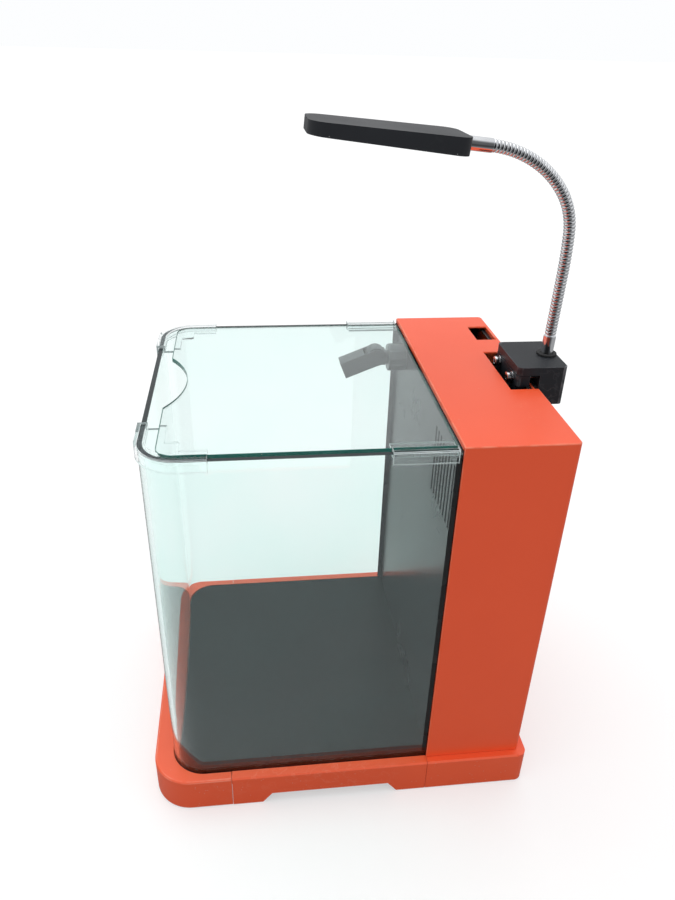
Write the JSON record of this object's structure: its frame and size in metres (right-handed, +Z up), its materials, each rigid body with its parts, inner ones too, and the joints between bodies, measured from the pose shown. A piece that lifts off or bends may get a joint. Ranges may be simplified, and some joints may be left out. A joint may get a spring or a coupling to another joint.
{
  "type": "desktop aquarium",
  "caption": "Desktop glass tank on a plastic base with a covered rear filter chamber, a loose lid glass and a flexible-arm lamp clamped to its rear rim.",
  "frame": {"origin": "on the surface that the tank stands on, under the centre of the outline seen from above, the lamp clamp included", "axes": "+Z up, -Y towards the front glass, +Y towards the rear cover and lamp clamp, +X to the right seen from the front"},
  "size_m": [0.214, 0.2776, 0.4311],
  "materials": {
    "orange_plastic": "smooth semi-gloss orange moulding",
    "base_plastic": "smooth semi-gloss orange-red moulding",
    "clear_glass": "polished clear float glass",
    "clear_plastic": "clear moulded plastic",
    "lens_plastic": "frosted clear plastic",
    "dark_sheet": "glossy dark grey sheet",
    "black_plastic": "fine matte black moulding",
    "grey_plastic": "satin dark grey moulding",
    "rubber": "matte black rubber",
    "silicone": "dark silicone",
    "hose_silicone": "milky silicone hose",
    "foam": "closed-cell foam",
    "chrome": "polished chrome",
    "steel": "zinc-plated steel",
    "sponge": "open-cell filter sponge",
    "floss": "white filter floss",
    "ceramic": "porous sintered ceramic",
    "impeller_plastic": "red moulded plastic",
    "board": "white circuit board",
    "led": "yellow phosphor"
  },
  "bodies": {
    "tank": {"base_tray": "base_plastic", "front_skirt": "base_plastic", "rear_skirt": "base_plastic", "skirt_screws": "steel", "rubber_feet": "rubber", "levelling_mat": "foam", "tank_glass": "clear_glass", "rear_glass": "clear_glass", "bottom_glass": "clear_glass", "floor_sheet": "dark_sheet", "silicone_beads": "silicone", "filter_divider": "dark_sheet", "media_partition": "dark_sheet", "pump_partition": "dark_sheet", "media_basket": "black_plastic", "coarse_sponge": "sponge", "ceramic_rings": "ceramic", "floss_pad": "floss", "pump_body": "black_plastic", "pump_grille": "black_plastic", "pump_cups": "rubber", "impeller_shaft": "ceramic", "pump_hose": "hose_silicone", "outlet_elbow": "grey_plastic", "outlet_collar": "grey_plastic", "corner_clip_left": "clear_plastic", "corner_clip_right": "clear_plastic", "rear_clip_left": "clear_plastic", "rear_clip_right": "clear_plastic"},
    "lid": {"lid_glass": "clear_glass"},
    "cover": {"rear_cover": "orange_plastic"},
    "clamp": {"clamp_body": "black_plastic", "body_pad": "rubber", "cord_gland": "rubber", "arm_grommet": "rubber", "lower_ferrule": "chrome"},
    "jaw": {"clamp_jaw": "black_plastic", "jaw_pad": "rubber", "jaw_washers": "chrome"},
    "screw_left": {"clamp_screw_left": "chrome"},
    "screw_right": {"clamp_screw_right": "chrome"},
    "arm_1": {"arm_link_1": "chrome"},
    "arm_2": {"arm_link_2": "chrome"},
    "arm_3": {"arm_link_3": "chrome"},
    "arm_4": {"arm_link_4": "chrome"},
    "head": {"arm_link_5": "chrome", "upper_ferrule": "chrome", "head_shell": "black_plastic", "led_board": "board", "led_chips": "led", "lens_cover": "lens_plastic", "head_screws": "steel"},
    "impeller": {"impeller": "impeller_plastic"},
    "nozzle": {"nozzle_knee": "grey_plastic"},
    "spout": {"nozzle_spout": "grey_plastic"}
  },
  "joints": [
    {"name": "lid_lift", "type": "slide", "parent": "tank", "child": "lid", "axis": [0, 0, 1], "range_m": [0, 0.05]},
    {"name": "cover_lift", "type": "slide", "parent": "tank", "child": "cover", "axis": [0, 0, 1], "range_m": [0, 0.06]},
    {"name": "lamp_lift", "type": "slide", "parent": "cover", "child": "clamp", "axis": [0, 0, 1], "range_m": [0, 0.05]},
    {"name": "jaw_slide", "type": "slide", "parent": "clamp", "child": "jaw", "axis": [0, -1, 0], "range_m": [0, 0.0015]},
    {"name": "screw_right_turn", "type": "hinge", "parent": "jaw", "child": "screw_right", "pos_m": [0.013, 0.1058, 0.279], "axis": [0, -1, 0], "range_deg": [0, 900]},
    {"name": "screw_left_turn", "type": "hinge", "parent": "jaw", "child": "screw_left", "pos_m": [-0.013, 0.1058, 0.279], "axis": [0, -1, 0], "range_deg": [0, 900]},
    {"name": "arm_side_bend", "type": "hinge", "parent": "clamp", "child": "arm_1", "pos_m": [0, 0.13237, 0.303], "axis": [0, 1, 0], "range_deg": [-15, 15]},
    {"name": "arm_bend_1", "type": "hinge", "parent": "arm_1", "child": "arm_2", "pos_m": [0, 0.13339, 0.34198], "axis": [1, 0, 0], "range_deg": [-12, 12]},
    {"name": "arm_bend_2", "type": "hinge", "parent": "arm_2", "child": "arm_3", "pos_m": [0, 0.13293, 0.36797], "axis": [1, 0, 0], "range_deg": [-12, 12]},
    {"name": "arm_bend_3", "type": "hinge", "parent": "arm_3", "child": "arm_4", "pos_m": [0, 0.12416, 0.39206], "axis": [1, 0, 0], "range_deg": [-12, 12]},
    {"name": "arm_bend_4", "type": "hinge", "parent": "arm_4", "child": "head", "pos_m": [0, 0.10816, 0.40698], "axis": [1, 0, 0], "range_deg": [-12, 12]},
    {"name": "nozzle_swivel", "type": "hinge", "parent": "tank", "child": "nozzle", "pos_m": [-0.064, 0.02895, 0.26], "axis": [0, 1, 0], "range_deg": [-60, 60]},
    {"name": "spout_tilt", "type": "hinge", "parent": "nozzle", "child": "spout", "pos_m": [-0.064, 0.02895, 0.262], "axis": [1, 0, 0], "range_deg": [-15, 15]},
    {"name": "impeller_spin", "type": "hinge", "parent": "tank", "child": "impeller", "pos_m": [-0.064, 0.08157, 0.054], "axis": [0, 1, 0], "continuous": true}
  ],
  "couplings": [
    {"joint": "screw_right_turn", "follows": "jaw_slide", "rad_per_m": 10472},
    {"joint": "screw_left_turn", "follows": "jaw_slide", "rad_per_m": 10472}
  ]
}
